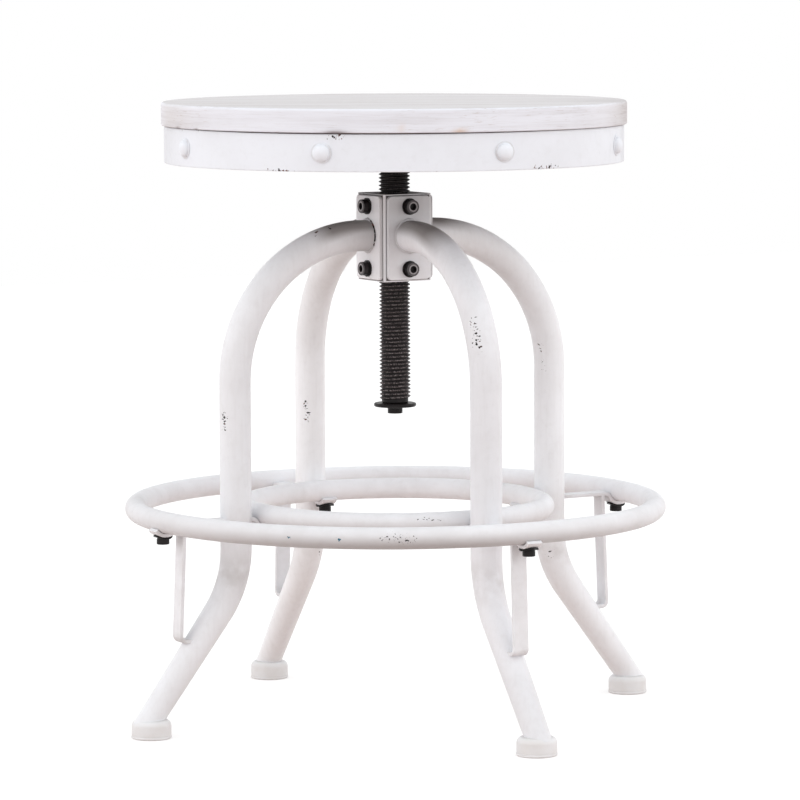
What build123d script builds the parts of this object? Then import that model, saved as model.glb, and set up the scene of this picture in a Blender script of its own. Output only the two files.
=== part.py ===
from build123d import *
import os
from math import acos, cos, degrees, radians, sin, sqrt, tan

os.makedirs("parts", exist_ok=True)

# Swivel stool, in millimetres. The floor is z = 0 and the lift screw stands on the Z axis.
# The four legs lie along +X (right), +Y (rear), -X (left) and -Y (front).

# Wooden seat
seat_height = 497.0       # floor to the seat's top, as photographed
seat_d = 373.0
wood_edge_h = 18.7        # edge of the wood above the band
wood_top_ease = 2.2       # rounding of the upper edge
wood_low_ease = 2.5       # rounding of the overhanging lower edge
seat_swivel = -1.85       # degrees that the seat is turned, as photographed

# Metal band round the lower part of the wood, and its rivets
band_inset = 2.3          # the wood's edge overhangs the band by this much
band_h = 28.9
band_wall = 1.5
band_seam = 0.8           # open seam between the wood's overhang and the band
band_fit = 0.3            # room between the band and the wood inside it
rivet_count = 8
rivet_d = 16.0
rivet_dome = 3.0          # height of the domed head
rivet_lift = 0.1          # the flat under a head stands off the curved band
rivet_shank_d = 4.0
rivet_shank_l = 14.0
nail_fit = 0.1            # room round a driven shank, on the radius

# Flange on top of the lift screw, let in under the wood
flange_d = 130.0
flange_t = 5.0
flange_screw_pcd = 96.0
flange_screw_count = 4
wood_screw_d = 5.0
wood_screw_l = 21.0
wood_screw_head_d = 9.6
wood_screw_head_h = 3.2
wood_screw_tip_d = 1.0

# Lift screw
screw_d = 25.0
screw_l = 194.4           # from the flange's underside to the lower end
thread_pitch = 3.0
thread_depth = 1.8
thread_crest = 0.4        # flat on each crest
screw_neck_h = 2.4        # plain necks above and below the thread
spigot_d = 18.0           # turned end welded into the flange
spigot_fit = 0.1

# Stop on the lower end of the lift screw
stop_washer_d = 34.0
stop_washer_t = 3.0
stop_washer_round = 1.2   # rounding of the washer's rim
stop_play = 0.1           # end play of the loose washer, above and below
stop_bolt_d = 8.0
stop_bolt_l = 24.0
stop_head_d = 12.0
stop_head_h = 5.4
stop_socket_af = 5.0
stop_bolt_fit = 0.3       # room round the bolt in the washer, on the radius

# Square nut block
block_w = 43.4
block_h = 70.0
seat_rise = 25.3          # seat's underside above the block, as photographed
block_ease = 1.5          # rounding of its upright edges
screw_fit = 0.4           # room round the thread's crests, on the radius

# Leg plates, their screws and washers
plate_w = 38.5
plate_h = 67.0
plate_t = 2.8
plate_corner = 3.5
plate_ease = 0.8
plate_screw_gap = 50.0    # between the upper and the lower screw
screw_hole_fit = 0.3      # room round a machine screw, on the radius
tapped_fit = 0.1          # room round a machine screw in its tapped hole, on the radius
m6_d = 6.0
plate_head_d = 11.0
plate_head_h = 5.1
m6_socket_af = 5.0
socket_share = 0.55       # depth of a hexagon socket, as a share of the head
head_ease = 0.5
plate_washer_d = 13.2
plate_washer_t = 1.4
plate_screw_grip = 6.4    # thread inside the block
tapped_extra = 1.2        # tapped depth beyond the screw's tip

# Legs: bent tubes that taper from the lower bend to the foot
leg_d = 25.0
leg_foot_d = 20.2
leg_wall = 1.5
leg_r = 145.0             # from the axis to the upright run
leg_lead = 8.0            # straight run between the plate and the upper bend
leg_rise = 1.5            # upper ends above the middle of the plates
leg_low_bend = 85.0       # radius of the lower bend, on the tube's axis
leg_splay = 36.8          # degrees from upright, below the lower bend
foot_reach = 76.0         # from the upright run out to the foot

# Feet
foot_d = 31.4
foot_h = 16.0
foot_ease = 3.0           # rounding of the shoulder
foot_lip = 0.5            # the base stands this much proud all round
foot_lip_h = 2.2
foot_plug_l = 18.0        # plug inside the tube
plug_fit = 0.4            # room round the plug, on the radius

# Foot rings
ring_d = 17.0
ring_wall = 1.5
ring_z = 170.7
inner_ring_gap = 4.2      # clear space between the legs and the inner ring
outer_ring_gap = 43.5     # clear space between the legs and the outer ring
ring_joint = 0.3          # butt joint where the bent tube's ends meet
ring_joint_turn = 45.0    # degrees round to the joint, midway between two legs

# Flat-bar brackets under the rings
bar_w = 13.0
bar_t = 3.0
bar_drop = 2.0            # middle of the flat bar below the middle of the rings
bar_bend = 5.0            # bend between the flat and a saddle, on the bar's middle
saddle_fit = 0.3          # room between a saddle and its ring
saddle_wrap = 55.0        # degrees that a saddle climbs beyond the ring's lowest line
slot_fit = 0.2            # room round the bar in the leg's slot

# Struts from the brackets to the legs
strut_inset = 2.8         # from the end of the bar's flat to the strut's middle
strut_lean = 2.5          # degrees that the strut leans outwards
strut_foot_z = 75.0       # height of the turned-in end
strut_bend = 4.5          # on the strip's middle
weld_gap = 0.2            # between a strut's end and the leg it is welded to

# Bolts and saddle washers under the rings
saddle_washer_top_d = 15.0
saddle_washer_low_d = 10.6
saddle_washer_t = 1.6     # thickness at its middle
saddle_washer_fit = 0.3
ring_head_d = 10.0
ring_head_h = 3.9
ring_bolt_grip = 4.0      # end of a bolt inside the ring's bore

# Heights and radii that follow from the sizes above
wood_edge_z = seat_height - wood_edge_h
band_top_z = wood_edge_z - band_seam
band_low_z = band_top_z - band_h
band_d = seat_d - 2 * band_inset
flange_top_z = band_low_z + flange_t
core_r = band_d / 2 - band_wall - band_fit
screw_low_z = band_low_z - screw_l
stop_washer_top_z = screw_low_z - stop_play
stop_head_z = stop_washer_top_z - stop_washer_t - stop_play
block_z = band_low_z - seat_rise - block_h / 2
plate_face_r = block_w / 2 + plate_t
leg_top_z = block_z + leg_rise
leg_top_bend = leg_r - plate_face_r - leg_lead
foot_r = leg_r + foot_reach
ring_r = ring_d / 2
inner_ring_r = leg_r - leg_d / 2 - inner_ring_gap - ring_r
outer_ring_r = leg_r + leg_d / 2 + outer_ring_gap + ring_r
bar_z = ring_z - bar_drop
saddle_r = ring_r + saddle_fit + bar_t / 2
saddle_reach = sqrt((bar_bend + saddle_r) ** 2 - (bar_drop + bar_bend) ** 2)
saddle_turn = degrees(acos((bar_drop + bar_bend) / (bar_bend + saddle_r)))
washer_seat_r = saddle_r + bar_t / 2 + saddle_washer_fit
washer_low_z = ring_z - washer_seat_r - saddle_washer_t
strut_r = outer_ring_r - saddle_reach - strut_inset
m6_hole_r = m6_d / 2 + screw_hole_fit

leg_turns = {"right": 0, "rear": 90, "left": 180, "front": 270}
ring_radii = (inner_ring_r, outer_ring_r)
plate_screw_heights = (block_z - plate_screw_gap / 2, block_z + plate_screw_gap / 2)


def save(name, *pieces):
    """Write the solids of one node."""
    solids = [solid for piece in pieces for solid in piece.solids()]
    export_step(solids[0] if len(solids) == 1 else Compound(children=solids), f"parts/{name}.step")


def about_z(turn, piece):
    return Rot(0, 0, turn) * piece


def round_bar(d, low, high):
    """Upright cylinder on the Z axis from low to high."""
    return Pos(0, 0, (low + high) / 2) * Cylinder(d / 2, high - low)


def outwards(r, z):
    """Plane on the +X side, facing away from the axis."""
    return Plane(origin=(r, 0, z), x_dir=(0, 1, 0), z_dir=(1, 0, 0))


def socket_screw(d, length, head_d, head_h, socket_af):
    """Screw with its bearing face at z = 0, its head above and its shank below."""
    head = fillet(round_bar(head_d, 0, head_h).edges().group_by(Axis.Z)[-1], head_ease)
    socket = extrude(Pos(0, 0, head_h) * RegularPolygon(socket_af / 2, 6, major_radius=False),
                     -head_h * socket_share)
    return head - socket + round_bar(d, -length, 0)


def wood_screw():
    """Pan-head screw with a pointed end, head below z = 0 and shank above."""
    point_l = wood_screw_d
    head = round_bar(wood_screw_head_d, -wood_screw_head_h, 0)
    head = fillet(head.edges().group_by(Axis.Z)[0], wood_screw_head_h / 2)
    shank = round_bar(wood_screw_d, 0, wood_screw_l - point_l)
    point = Pos(0, 0, wood_screw_l - point_l / 2) * Cone(wood_screw_d / 2, wood_screw_tip_d / 2, point_l)
    return head + shank + point


def wooden_seat():
    edge = round_bar(seat_d, wood_edge_z, seat_height)
    edge = fillet(edge.edges().group_by(Axis.Z)[-1], wood_top_ease)
    edge = fillet(edge.edges().group_by(Axis.Z)[0], wood_low_ease)
    seat = edge + round_bar(2 * core_r, flange_top_z, wood_edge_z)
    for place in rivet_places():
        seat -= place * round_bar(rivet_shank_d + 2 * nail_fit, -rivet_shank_l, 0)
    for place in flange_screw_places():
        seat -= place * round_bar(wood_screw_d + 2 * nail_fit, 0, wood_screw_l)
    return seat


def rivet_places():
    """Bearing planes of the rivets, facing outwards round the band."""
    place = outwards(band_d / 2 + rivet_lift, (band_top_z + band_low_z) / 2)
    return [Rot(0, 0, seat_swivel + 360 / rivet_count * i) * place.location for i in range(rivet_count)]


def flange_screw_places():
    """Points under the flange, on the screw circle."""
    step = 360 / flange_screw_count
    return [Rot(0, 0, seat_swivel + step / 2 + step * i) * Pos(flange_screw_pcd / 2, 0, band_low_z)
            for i in range(flange_screw_count)]


def seat_band():
    band = round_bar(band_d, band_low_z, band_top_z)
    band -= round_bar(band_d - 2 * band_wall, band_low_z, band_top_z)
    for place in rivet_places():
        band -= place * round_bar(rivet_shank_d + 2 * nail_fit, -2 * band_wall, band_wall)
    return band


def rivet():
    """Domed head above z = 0 and a plain shank below."""
    dome_r = (rivet_d ** 2 / 4 + rivet_dome ** 2) / (2 * rivet_dome)
    dome = Pos(0, 0, rivet_dome - dome_r) * Sphere(dome_r) & round_bar(rivet_d, 0, rivet_dome)
    return dome + round_bar(rivet_shank_d, -rivet_shank_l, 0)


def flange():
    plate = round_bar(flange_d, band_low_z, flange_top_z)
    plate -= round_bar(spigot_d + 2 * spigot_fit, band_low_z, flange_top_z)
    for place in flange_screw_places():
        plate -= place * round_bar(wood_screw_d + 2 * screw_hole_fit, 0, flange_t)
    return plate


def lift_screw():
    """One turned profile: plain necks, ring-shaped crests at the thread's pitch, and a spigot."""
    core = screw_d / 2 - thread_depth
    crest = screw_d / 2
    thread_low = screw_low_z + screw_neck_h
    thread_high = band_low_z - screw_neck_h
    turns = int((thread_high - thread_low) / thread_pitch)
    points = [(0, screw_low_z), (core, screw_low_z)]
    for i in range(turns):
        root_z = thread_low + thread_pitch * i
        crest_z = root_z + thread_pitch / 2
        points += [(core, root_z), (crest, crest_z - thread_crest / 2), (crest, crest_z + thread_crest / 2)]
    points += [(core, thread_low + thread_pitch * turns), (core, band_low_z)]
    points += [(spigot_d / 2, band_low_z), (spigot_d / 2, flange_top_z), (0, flange_top_z)]
    profile = make_face(Plane.XZ * Polyline(*points, close=True))
    bore = round_bar(stop_bolt_d + 2 * tapped_fit, screw_low_z, screw_low_z + stop_bolt_l)
    return revolve(profile, Axis.Z) - bore


def stop_washer():
    low = stop_washer_top_z - stop_washer_t
    washer = round_bar(stop_washer_d, low, stop_washer_top_z)
    washer = fillet(washer.edges(), stop_washer_round)
    return washer - round_bar(stop_bolt_d + 2 * stop_bolt_fit, low, stop_washer_top_z)


def stop_bolt():
    reach = screw_low_z - stop_head_z + stop_bolt_l - tapped_extra
    bolt = socket_screw(stop_bolt_d, reach, stop_head_d, stop_head_h, stop_socket_af)
    return Plane(origin=(0, 0, stop_head_z), z_dir=(0, 0, -1)) * bolt


def nut_block():
    block = Pos(0, 0, block_z) * Box(block_w, block_w, block_h)
    block = fillet(block.edges().filter_by(Axis.Z), block_ease)
    block -= Pos(0, 0, block_z) * Cylinder(screw_d / 2 + screw_fit, block_h)
    depth = plate_screw_grip + tapped_extra
    for turn in leg_turns.values():
        for z in plate_screw_heights:
            hole = outwards(block_w / 2, z) * round_bar(m6_d + 2 * tapped_fit, -depth, 0)
            block -= about_z(turn, hole)
    return block


def leg_plate():
    face = outwards(block_w / 2, block_z)
    plate = extrude(face * RectangleRounded(plate_w, plate_h, plate_corner), plate_t)
    plate = fillet(plate.edges().group_by(Axis.X)[-1], plate_ease)
    for z in plate_screw_heights:
        plate -= outwards(block_w / 2, z) * round_bar(2 * m6_hole_r, 0, plate_t)
    return plate


def leg_run(top_r, low_r, beyond):
    """Solid run of a leg on the +X side, from the plate to a little beyond the foot's top plane."""
    splay = radians(leg_splay)
    bend_end_r = leg_r + leg_low_bend * (1 - cos(splay))
    straight_l = (foot_r - bend_end_r) / sin(splay)
    bend_z = foot_h + straight_l * cos(splay) + leg_low_bend * sin(splay)
    bend_l = leg_low_bend * splay
    shrink = (top_r - low_r) / (bend_l + straight_l)

    lead = Line((plate_face_r, leg_top_z), (plate_face_r + leg_lead, leg_top_z))
    top_bend = JernArc(lead @ 1, lead % 1, leg_top_bend, -90)
    upright = Line(top_bend @ 1, (leg_r, bend_z))
    low_bend = JernArc(upright @ 1, upright % 1, leg_low_bend, leg_splay)

    def station(point, heading, radius):
        plane = Plane(origin=(point.X, 0, point.Y), x_dir=(0, 1, 0), z_dir=(heading.X, 0, heading.Y))
        return plane * Circle(radius)

    mid_r = top_r - shrink * bend_l
    end_r = low_r - shrink * beyond
    tip = low_bend @ 1 + (low_bend % 1) * (straight_l + beyond)
    upper = sweep(station(lead @ 0, lead % 0, top_r), path=Plane.XZ * (lead + top_bend + upright))
    bend = sweep([station(low_bend @ 0, low_bend % 0, top_r), station(low_bend @ 1, low_bend % 1, mid_r)],
                 path=Plane.XZ * low_bend, multisection=True)
    lower = loft([station(low_bend @ 1, low_bend % 1, mid_r), station(tip, low_bend % 1, end_r)])
    return upper + bend + lower


def leg():
    """Tube with a level foot end and a slot through it for the bracket's bar."""
    beyond = leg_d
    tube = leg_run(leg_d / 2, leg_foot_d / 2, beyond)
    tube -= leg_run(leg_d / 2 - leg_wall, leg_foot_d / 2 - leg_wall, beyond)
    tube = split(tube, Plane.XY.offset(foot_h), keep=Keep.TOP)
    return tube - Pos(leg_r, 0, bar_z) * Box(2 * leg_d, bar_w + 2 * slot_fit, bar_t + 2 * slot_fit)


def foot():
    """Round foot with a lip at its base and a plug that slants up into the tube."""
    body = fillet(round_bar(foot_d, 0, foot_h).edges().group_by(Axis.Z)[-1], foot_ease)
    body += round_bar(foot_d + 2 * foot_lip, 0, foot_lip_h)
    plug_r = leg_foot_d / 2 - leg_wall - plug_fit
    plug = round_bar(2 * plug_r, -foot_h / 3, foot_plug_l)
    return Pos(foot_r, 0, 0) * (body + Pos(0, 0, foot_h) * Rot(0, -leg_splay, 0) * plug)


def foot_ring(radius):
    """Tube bent round to a butt joint, with a bolt hole in its underside at each leg."""
    section = Plane.XZ * Pos(radius, 0) * (Circle(ring_r) - Circle(ring_r - ring_wall))
    ring = about_z(ring_joint_turn, revolve(section, Axis.Z, 360 - degrees(ring_joint / radius)))
    for turn in leg_turns.values():
        ring -= about_z(turn, Pos(radius, 0, 0) * round_bar(2 * m6_hole_r, -ring_d, 0))
    return Pos(0, 0, ring_z) * ring


def bracket_half(radius, side):
    """Flat bar from the leg's axis to one ring, bent down and round under it."""
    flat = Line((leg_r, bar_z), (radius - side * saddle_reach, bar_z))
    drop = JernArc(flat @ 1, flat % 1, bar_bend, -side * saddle_turn)
    cradle = JernArc(drop @ 1, drop % 1, saddle_r, side * (saddle_turn + saddle_wrap))
    start = Plane(origin=(leg_r, 0, bar_z), x_dir=(0, 1, 0), z_dir=(side, 0, 0))
    half = sweep(start * Rectangle(bar_w, bar_t), path=Plane.XZ * (flat + drop + cradle))
    return half - Pos(radius, 0, 0) * round_bar(2 * m6_hole_r, ring_z - ring_d, ring_z)


def ring_bracket():
    return bracket_half(outer_ring_r, 1) + bracket_half(inner_ring_r, -1)


def bracket_strut():
    """Strip from under the bar, leaning outwards, turned in to meet the leg."""
    lean = radians(strut_lean)
    top_z = bar_z - bar_t / 2
    bend_z = strut_foot_z + strut_bend * (1 + sin(lean))
    leg_axis_r = foot_r - (strut_foot_z - foot_h) * tan(radians(leg_splay))
    start = (strut_r - bar_t * tan(lean), top_z + bar_t)
    fall = Line(start, (strut_r + (top_z - bend_z) * tan(lean), bend_z))
    turn_in = JernArc(fall @ 1, fall % 1, strut_bend, -(90 + strut_lean))
    tail = Line(turn_in @ 1, (leg_axis_r, strut_foot_z))
    heading = fall % 0
    plane = Plane(origin=(start[0], 0, start[1]), x_dir=(0, 1, 0), z_dir=(heading.X, 0, heading.Y))
    strip = sweep(plane * Rectangle(bar_w, bar_t), path=Plane.XZ * (fall + turn_in + tail))
    strip = split(strip, Plane.XY.offset(top_z), keep=Keep.BOTTOM)
    return strip - leg_run(leg_d / 2 + weld_gap, leg_foot_d / 2 + weld_gap, 0)


def saddle_washer(radius):
    """Cone with a hollowed top that takes the saddle's curve, under a ring on the +X side."""
    high = ring_z - sqrt(washer_seat_r ** 2 - saddle_washer_top_d ** 2 / 4)
    height = high - washer_low_z
    cone = Cone(saddle_washer_low_d / 2, saddle_washer_top_d / 2, height)
    cone = Pos(0, 0, washer_low_z + height / 2) * cone
    cone -= Pos(0, 0, ring_z) * Rot(90, 0, 0) * Cylinder(washer_seat_r, 2 * saddle_washer_top_d)
    return Pos(radius, 0, 0) * (cone - round_bar(2 * m6_hole_r, washer_low_z, ring_z))


def ring_bolt(radius):
    shank = ring_z - ring_r + ring_wall + ring_bolt_grip - washer_low_z
    bolt = socket_screw(m6_d, shank, ring_head_d, ring_head_h, m6_socket_af)
    return Plane(origin=(radius, 0, washer_low_z), z_dir=(0, 0, -1)) * bolt


def plate_washer(z):
    ring = round_bar(plate_washer_d, 0, plate_washer_t) - round_bar(2 * m6_hole_r, 0, plate_washer_t)
    return outwards(plate_face_r, z) * ring


def plate_screw(z):
    length = plate_washer_t + plate_t + plate_screw_grip
    screw = socket_screw(m6_d, length, plate_head_d, plate_head_h, m6_socket_af)
    return outwards(plate_face_r + plate_washer_t, z) * screw


# Seat and screw, which turn and rise together
save("wood_seat", wooden_seat())
save("seat_band", seat_band())
save("band_rivets", *[place * rivet() for place in rivet_places()])
save("seat_plate", flange())
save("seat_screws", *[place * wood_screw() for place in flange_screw_places()])
save("lift_screw", lift_screw())
save("stop_washer", stop_washer())
save("stop_bolt", stop_bolt())

# Fixed frame
save("nut_block", nut_block())
for side, turn in leg_turns.items():
    save(f"leg_plate_{side}", about_z(turn, leg_plate()))
    save(f"leg_{side}", about_z(turn, leg()))
    save(f"foot_{side}", about_z(turn, foot()))
    save(f"ring_bracket_{side}", about_z(turn, ring_bracket()))
    save(f"bracket_strut_{side}", about_z(turn, bracket_strut()))
save("outer_foot_ring", foot_ring(outer_ring_r))
save("inner_foot_ring", foot_ring(inner_ring_r))
turns = leg_turns.values()
save("plate_screws", *[about_z(t, plate_screw(z)) for t in turns for z in plate_screw_heights])
save("plate_washers", *[about_z(t, plate_washer(z)) for t in turns for z in plate_screw_heights])
save("ring_bolts", *[about_z(t, ring_bolt(r)) for t in turns for r in ring_radii])
save("saddle_washers", *[about_z(t, saddle_washer(r)) for t in turns for r in ring_radii])
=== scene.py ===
from math import acos, cos, degrees, pi, radians, sin, sqrt

import bpy
import numpy as np
from mathutils import Matrix, Vector


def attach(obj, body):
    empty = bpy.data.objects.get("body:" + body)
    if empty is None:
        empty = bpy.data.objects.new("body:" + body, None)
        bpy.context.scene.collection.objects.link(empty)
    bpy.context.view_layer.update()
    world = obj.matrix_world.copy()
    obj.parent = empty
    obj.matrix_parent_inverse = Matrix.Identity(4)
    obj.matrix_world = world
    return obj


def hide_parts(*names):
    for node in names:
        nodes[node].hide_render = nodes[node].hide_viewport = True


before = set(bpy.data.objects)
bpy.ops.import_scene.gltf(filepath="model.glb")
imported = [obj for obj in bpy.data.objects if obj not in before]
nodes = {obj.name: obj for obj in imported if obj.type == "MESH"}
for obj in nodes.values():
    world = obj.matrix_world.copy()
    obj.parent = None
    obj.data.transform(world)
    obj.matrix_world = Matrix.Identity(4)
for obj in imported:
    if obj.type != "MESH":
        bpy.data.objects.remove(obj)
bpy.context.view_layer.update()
mm = 0.001
legTurns = {"right": 0, "rear": 90, "left": 180, "front": 270}
print("frame loaded with", len(nodes), "nodes")


# quads of a grid, closed round its columns and, if asked, round its rows too
def gridQuads(rows, cols, wrapRows=False):
    r = np.arange(rows if wrapRows else rows - 1)[:, None]
    c = np.arange(cols)[None, :]
    rNext, cNext = (r + 1) % rows, (c + 1) % cols
    quads = [r * cols + c, r * cols + cNext, rNext * cols + cNext, rNext * cols + c]
    return np.stack(quads, -1).reshape(-1, 4)


# one closed shell from a grid of points: the quads, and a flat lid on the first and last row if the rows don't meet
def shell(points, wrapRows=False):
    rows, cols = points.shape[:2]
    faces = gridQuads(rows, cols, wrapRows).tolist()
    if not wrapRows:
        faces.append(list(range(cols))[::-1])
        faces.append([(rows - 1) * cols + c for c in range(cols)])
    return points.reshape(-1, 3), faces


# six times the volume inside the quads and lids, from triangles fanned out of each face's first corner
def signedVolume(points, faces):
    quads = np.array([f for f in faces if len(f) == 4])
    lids = [np.array([[f[0], f[i], f[i + 1]] for i in range(1, len(f) - 1)]) for f in faces if len(f) != 4]
    tris = np.vstack([quads[:, [0, 1, 2]], quads[:, [0, 2, 3]], *lids])
    a, b, c = (points[tris[:, i]] for i in range(3))
    return float((a * np.cross(b, c)).sum())


# turns points about the upright axis by the given degrees
def aboutZ(points, turn):
    a = radians(turn)
    spin = np.array([[cos(a), sin(a), 0], [-sin(a), cos(a), 0], [0, 0, 1]])
    return points @ spin


# joins closed shells, in millimetres, in one mesh with every shell facing outwards
def makePiece(name, shells, finish, body, standsFor=(), sharpAngle=38):
    points, faces, start = [], [], 0
    for shellPoints, shellFaces in shells:
        flip = signedVolume(shellPoints, shellFaces) < 0
        faces += [[start + i for i in (f[::-1] if flip else f)] for f in shellFaces]
        points.append(shellPoints)
        start += len(shellPoints)
    mesh = bpy.data.meshes.new(name)
    mesh.from_pydata(np.vstack(points) * mm, [], faces)
    mesh.shade_smooth()
    mesh.set_sharp_from_angle(angle=radians(sharpAngle))
    piece = bpy.data.objects.new(name, mesh)
    bpy.context.scene.collection.objects.link(piece)
    mesh.materials.append(finish)
    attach(piece, body)
    if standsFor:
        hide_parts(*standsFor)
    return piece


# rows of x, y, z for a mesh's points: where they are, in metres, with "co", or which way they face, with "normal"
def vertexRows(piece, kind):
    rows = np.zeros(len(piece.data.vertices) * 3, np.float32)
    piece.data.vertices.foreach_get(kind, rows)
    return rows.reshape(-1, 3)


# a piece's points in millimetres
def piecePoints(piece):
    return vertexRows(piece, "co") / mm


# stores one number for each point of a piece, which its finish reads by name
def setAttribute(piece, name, values):
    layer = piece.data.attributes.new(name, "FLOAT", "POINT")
    layer.data.foreach_set("value", np.asarray(values, np.float32))


# sum of soft spots, each an x, y, z, width, height and strength: the strength times e to the minus squared distance,
# measured in the spot's width and height
def spotField(points, spots):
    s = np.array(spots, float)
    d = points[:, None, :] - s[None, :, :3]
    across = (d[..., 0] ** 2 + d[..., 1] ** 2) / s[:, 3] ** 2
    return (s[:, 5] * np.exp(-across - d[..., 2] ** 2 / s[:, 4] ** 2)).sum(1)


# smooth wave of angle that closes on itself: a few cosines with fixed phases
def closedWave(angle, seed, low=2, high=7):
    rng = np.random.default_rng(seed)
    k = np.arange(low, high)
    phase = rng.uniform(0, 2 * pi, len(k))
    weight = rng.uniform(0.4, 1.0, len(k)) / len(k)
    return (weight * np.cos(np.asarray(angle)[..., None] * k + phase)).sum(-1)


# angles of even steps round a circle
def evenAngles(count):
    return np.linspace(0, 2 * pi, count, endpoint=False)


# profile of radius and height turned about the upright axis
def turned(profile, segments):
    p = np.asarray(profile, float)
    a = evenAngles(segments)
    r, z = p[:, :1], np.repeat(p[:, 1:], segments, 1)
    return np.stack([r * np.cos(a), r * np.sin(a), z], -1)


# corner of a profile: an arc about (r, z) between two angles in degrees
def arc(r, z, radius, start, end, steps=6):
    a = np.radians(np.linspace(start, end, steps))
    return np.stack([r + radius * np.cos(a), z + radius * np.sin(a)], 1).tolist()


# path of radius and height: straight runs and arcs, with the heading at each point
def walk(start, heading, steps):
    x, z = start
    pts, heads = [np.array([[x, z]])], [np.array([heading])]
    for kind, length, turn, count in steps:
        if kind == "run":
            t = np.linspace(0, length, count + 1)[1:]
            new = np.stack([x + t * cos(heading), z + t * sin(heading)], 1)
            head = np.full(count, heading)
        else:
            side = 1 if turn > 0 else -1
            a = np.linspace(0, radians(turn), count + 1)[1:]
            cx, cz = x - side * length * sin(heading), z + side * length * cos(heading)
            head = heading + a
            new = np.stack([cx + side * length * np.sin(head), cz - side * length * np.cos(head)], 1)
            heading = head[-1]
        x, z = new[-1]
        pts.append(new)
        heads.append(head)
    return np.vstack(pts), np.concatenate(heads)


# section carried along a path in the upright plane through +X: the centre plus out along the normal and across along Y
def carry(path, heads, out, across):
    normal = np.stack([-np.sin(heads), np.cos(heads)], 1)
    x = path[:, :1] + normal[:, :1] * out
    z = path[:, 1:] + normal[:, 1:] * out
    return np.stack([x, np.broadcast_to(across, x.shape), z], -1)


# round tube: out is the radius times the cosine, and across the radius times the sine
def tubeAlong(path, heads, radii, sides):
    a = evenAngles(sides)
    r = np.asarray(radii)[:, None]
    return carry(path, heads, r * np.cos(a), r * np.sin(a))


# flat strip: a rectangle with rounded corners, its width along Y and its thickness along the normal
def stripAlong(path, heads, width, thick, corner):
    w, t = width / 2 - corner, thick / 2 - corner
    outline = np.array(arc(w, t, corner, 0, 90, 4) + arc(-w, t, corner, 90, 180, 4)
                       + arc(-w, -t, corner, 180, 270, 4) + arc(w, -t, corner, 270, 360, 4))
    return carry(path, heads, outline[:, 1], outline[:, 0])


# a new finish with its node tree and its shader
def newFinish(name):
    finish = bpy.data.materials.new(name)
    finish.use_nodes = True
    tree = finish.node_tree
    return finish, tree, tree.nodes["Principled BSDF"]


# one node with its settings; an input is set to a value or linked to another node's output
def addNode(tree, kind, inputs=None, **settings):
    node = tree.nodes.new(kind)
    for key, value in settings.items():
        setattr(node, key, value)
    for key, value in (inputs or {}).items():
        if isinstance(value, bpy.types.NodeSocket):
            tree.links.new(value, node.inputs[key])
        else:
            node.inputs[key].default_value = value
    return node


# object coordinates turned about the upright axis, then stretched
def objectSpace(tree, turn=0.0, stretch=(1, 1, 1)):
    coord = addNode(tree, "ShaderNodeTexCoord").outputs["Object"]
    spun = addNode(tree, "ShaderNodeMapping", {"Vector": coord, "Rotation": (0, 0, radians(turn))}).outputs[0]
    return addNode(tree, "ShaderNodeMapping", {"Vector": spun, "Scale": stretch}).outputs[0]


# x, y and z of the turned object coordinates
def objectAxes(tree, turn=0.0):
    return addNode(tree, "ShaderNodeSeparateXYZ", {0: objectSpace(tree, turn)}).outputs


# x and y of the object coordinates without their signs, and z
def foldedAxes(tree):
    x, y, z = objectAxes(tree)
    return calc(tree, "ABSOLUTE", x), calc(tree, "ABSOLUTE", y), z


# cloudy noise from about 0 to 1, with the scale in spots to the metre
def noise(tree, where, scale, detail=3.0, rough=0.55, distort=0.0):
    return addNode(tree, "ShaderNodeTexNoise", {"Vector": where, "Scale": scale, "Detail": detail,
                                                "Roughness": rough, "Distortion": distort}).outputs["Fac"]


# smooth step: a value that goes from low to high gives toLow to toHigh, and holds beyond them
def spread(tree, value, low, high, toLow=0.0, toHigh=1.0):
    return addNode(tree, "ShaderNodeMapRange", {"Value": value, "From Min": low, "From Max": high,
                                                "To Min": toLow, "To Max": toHigh},
                   interpolation_type="SMOOTHSTEP").outputs[0]


# one step of arithmetic on two numbers
def calc(tree, operation, a, b=0.0):
    return addNode(tree, "ShaderNodeMath", {0: a, 1: b}, operation=operation).outputs[0]


# diagonal of two lengths: the root of the sum of their squares
def diagonal(tree, a, b):
    return calc(tree, "SQRT", calc(tree, "ADD", calc(tree, "MULTIPLY", a, a), calc(tree, "MULTIPLY", b, b)))


# colour a goes over to colour b by a factor, or is multiplied by it
def blendColour(tree, factor, a, b, mode="MIX"):
    a, b = (c if isinstance(c, bpy.types.NodeSocket) else (*c, 1) for c in (a, b))
    return addNode(tree, "ShaderNodeMix", {0: factor, 6: a, 7: b}, data_type="RGBA", blend_type=mode).outputs[2]


# the number that a piece stores at each point under this name
def attributeOf(tree, name):
    return addNode(tree, "ShaderNodeAttribute", attribute_name=name).outputs["Fac"]


# joins a finish to its shader: the colour, a roughness that runs over its span with the grain, and a bump by height
def dress(tree, shader, look, colour, grain, height):
    shader.inputs["Specular IOR Level"].default_value = look["gloss"]
    tree.links.new(colour, shader.inputs["Base Color"])
    tree.links.new(spread(tree, grain, 0.3, 0.7, *look["rough"]), shader.inputs["Roughness"])
    strength, depth = look["bump"]
    bump = addNode(tree, "ShaderNodeBump", {"Height": height, "Strength": strength, "Distance": depth})
    tree.links.new(bump.outputs[0], shader.inputs["Normal"])


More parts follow.
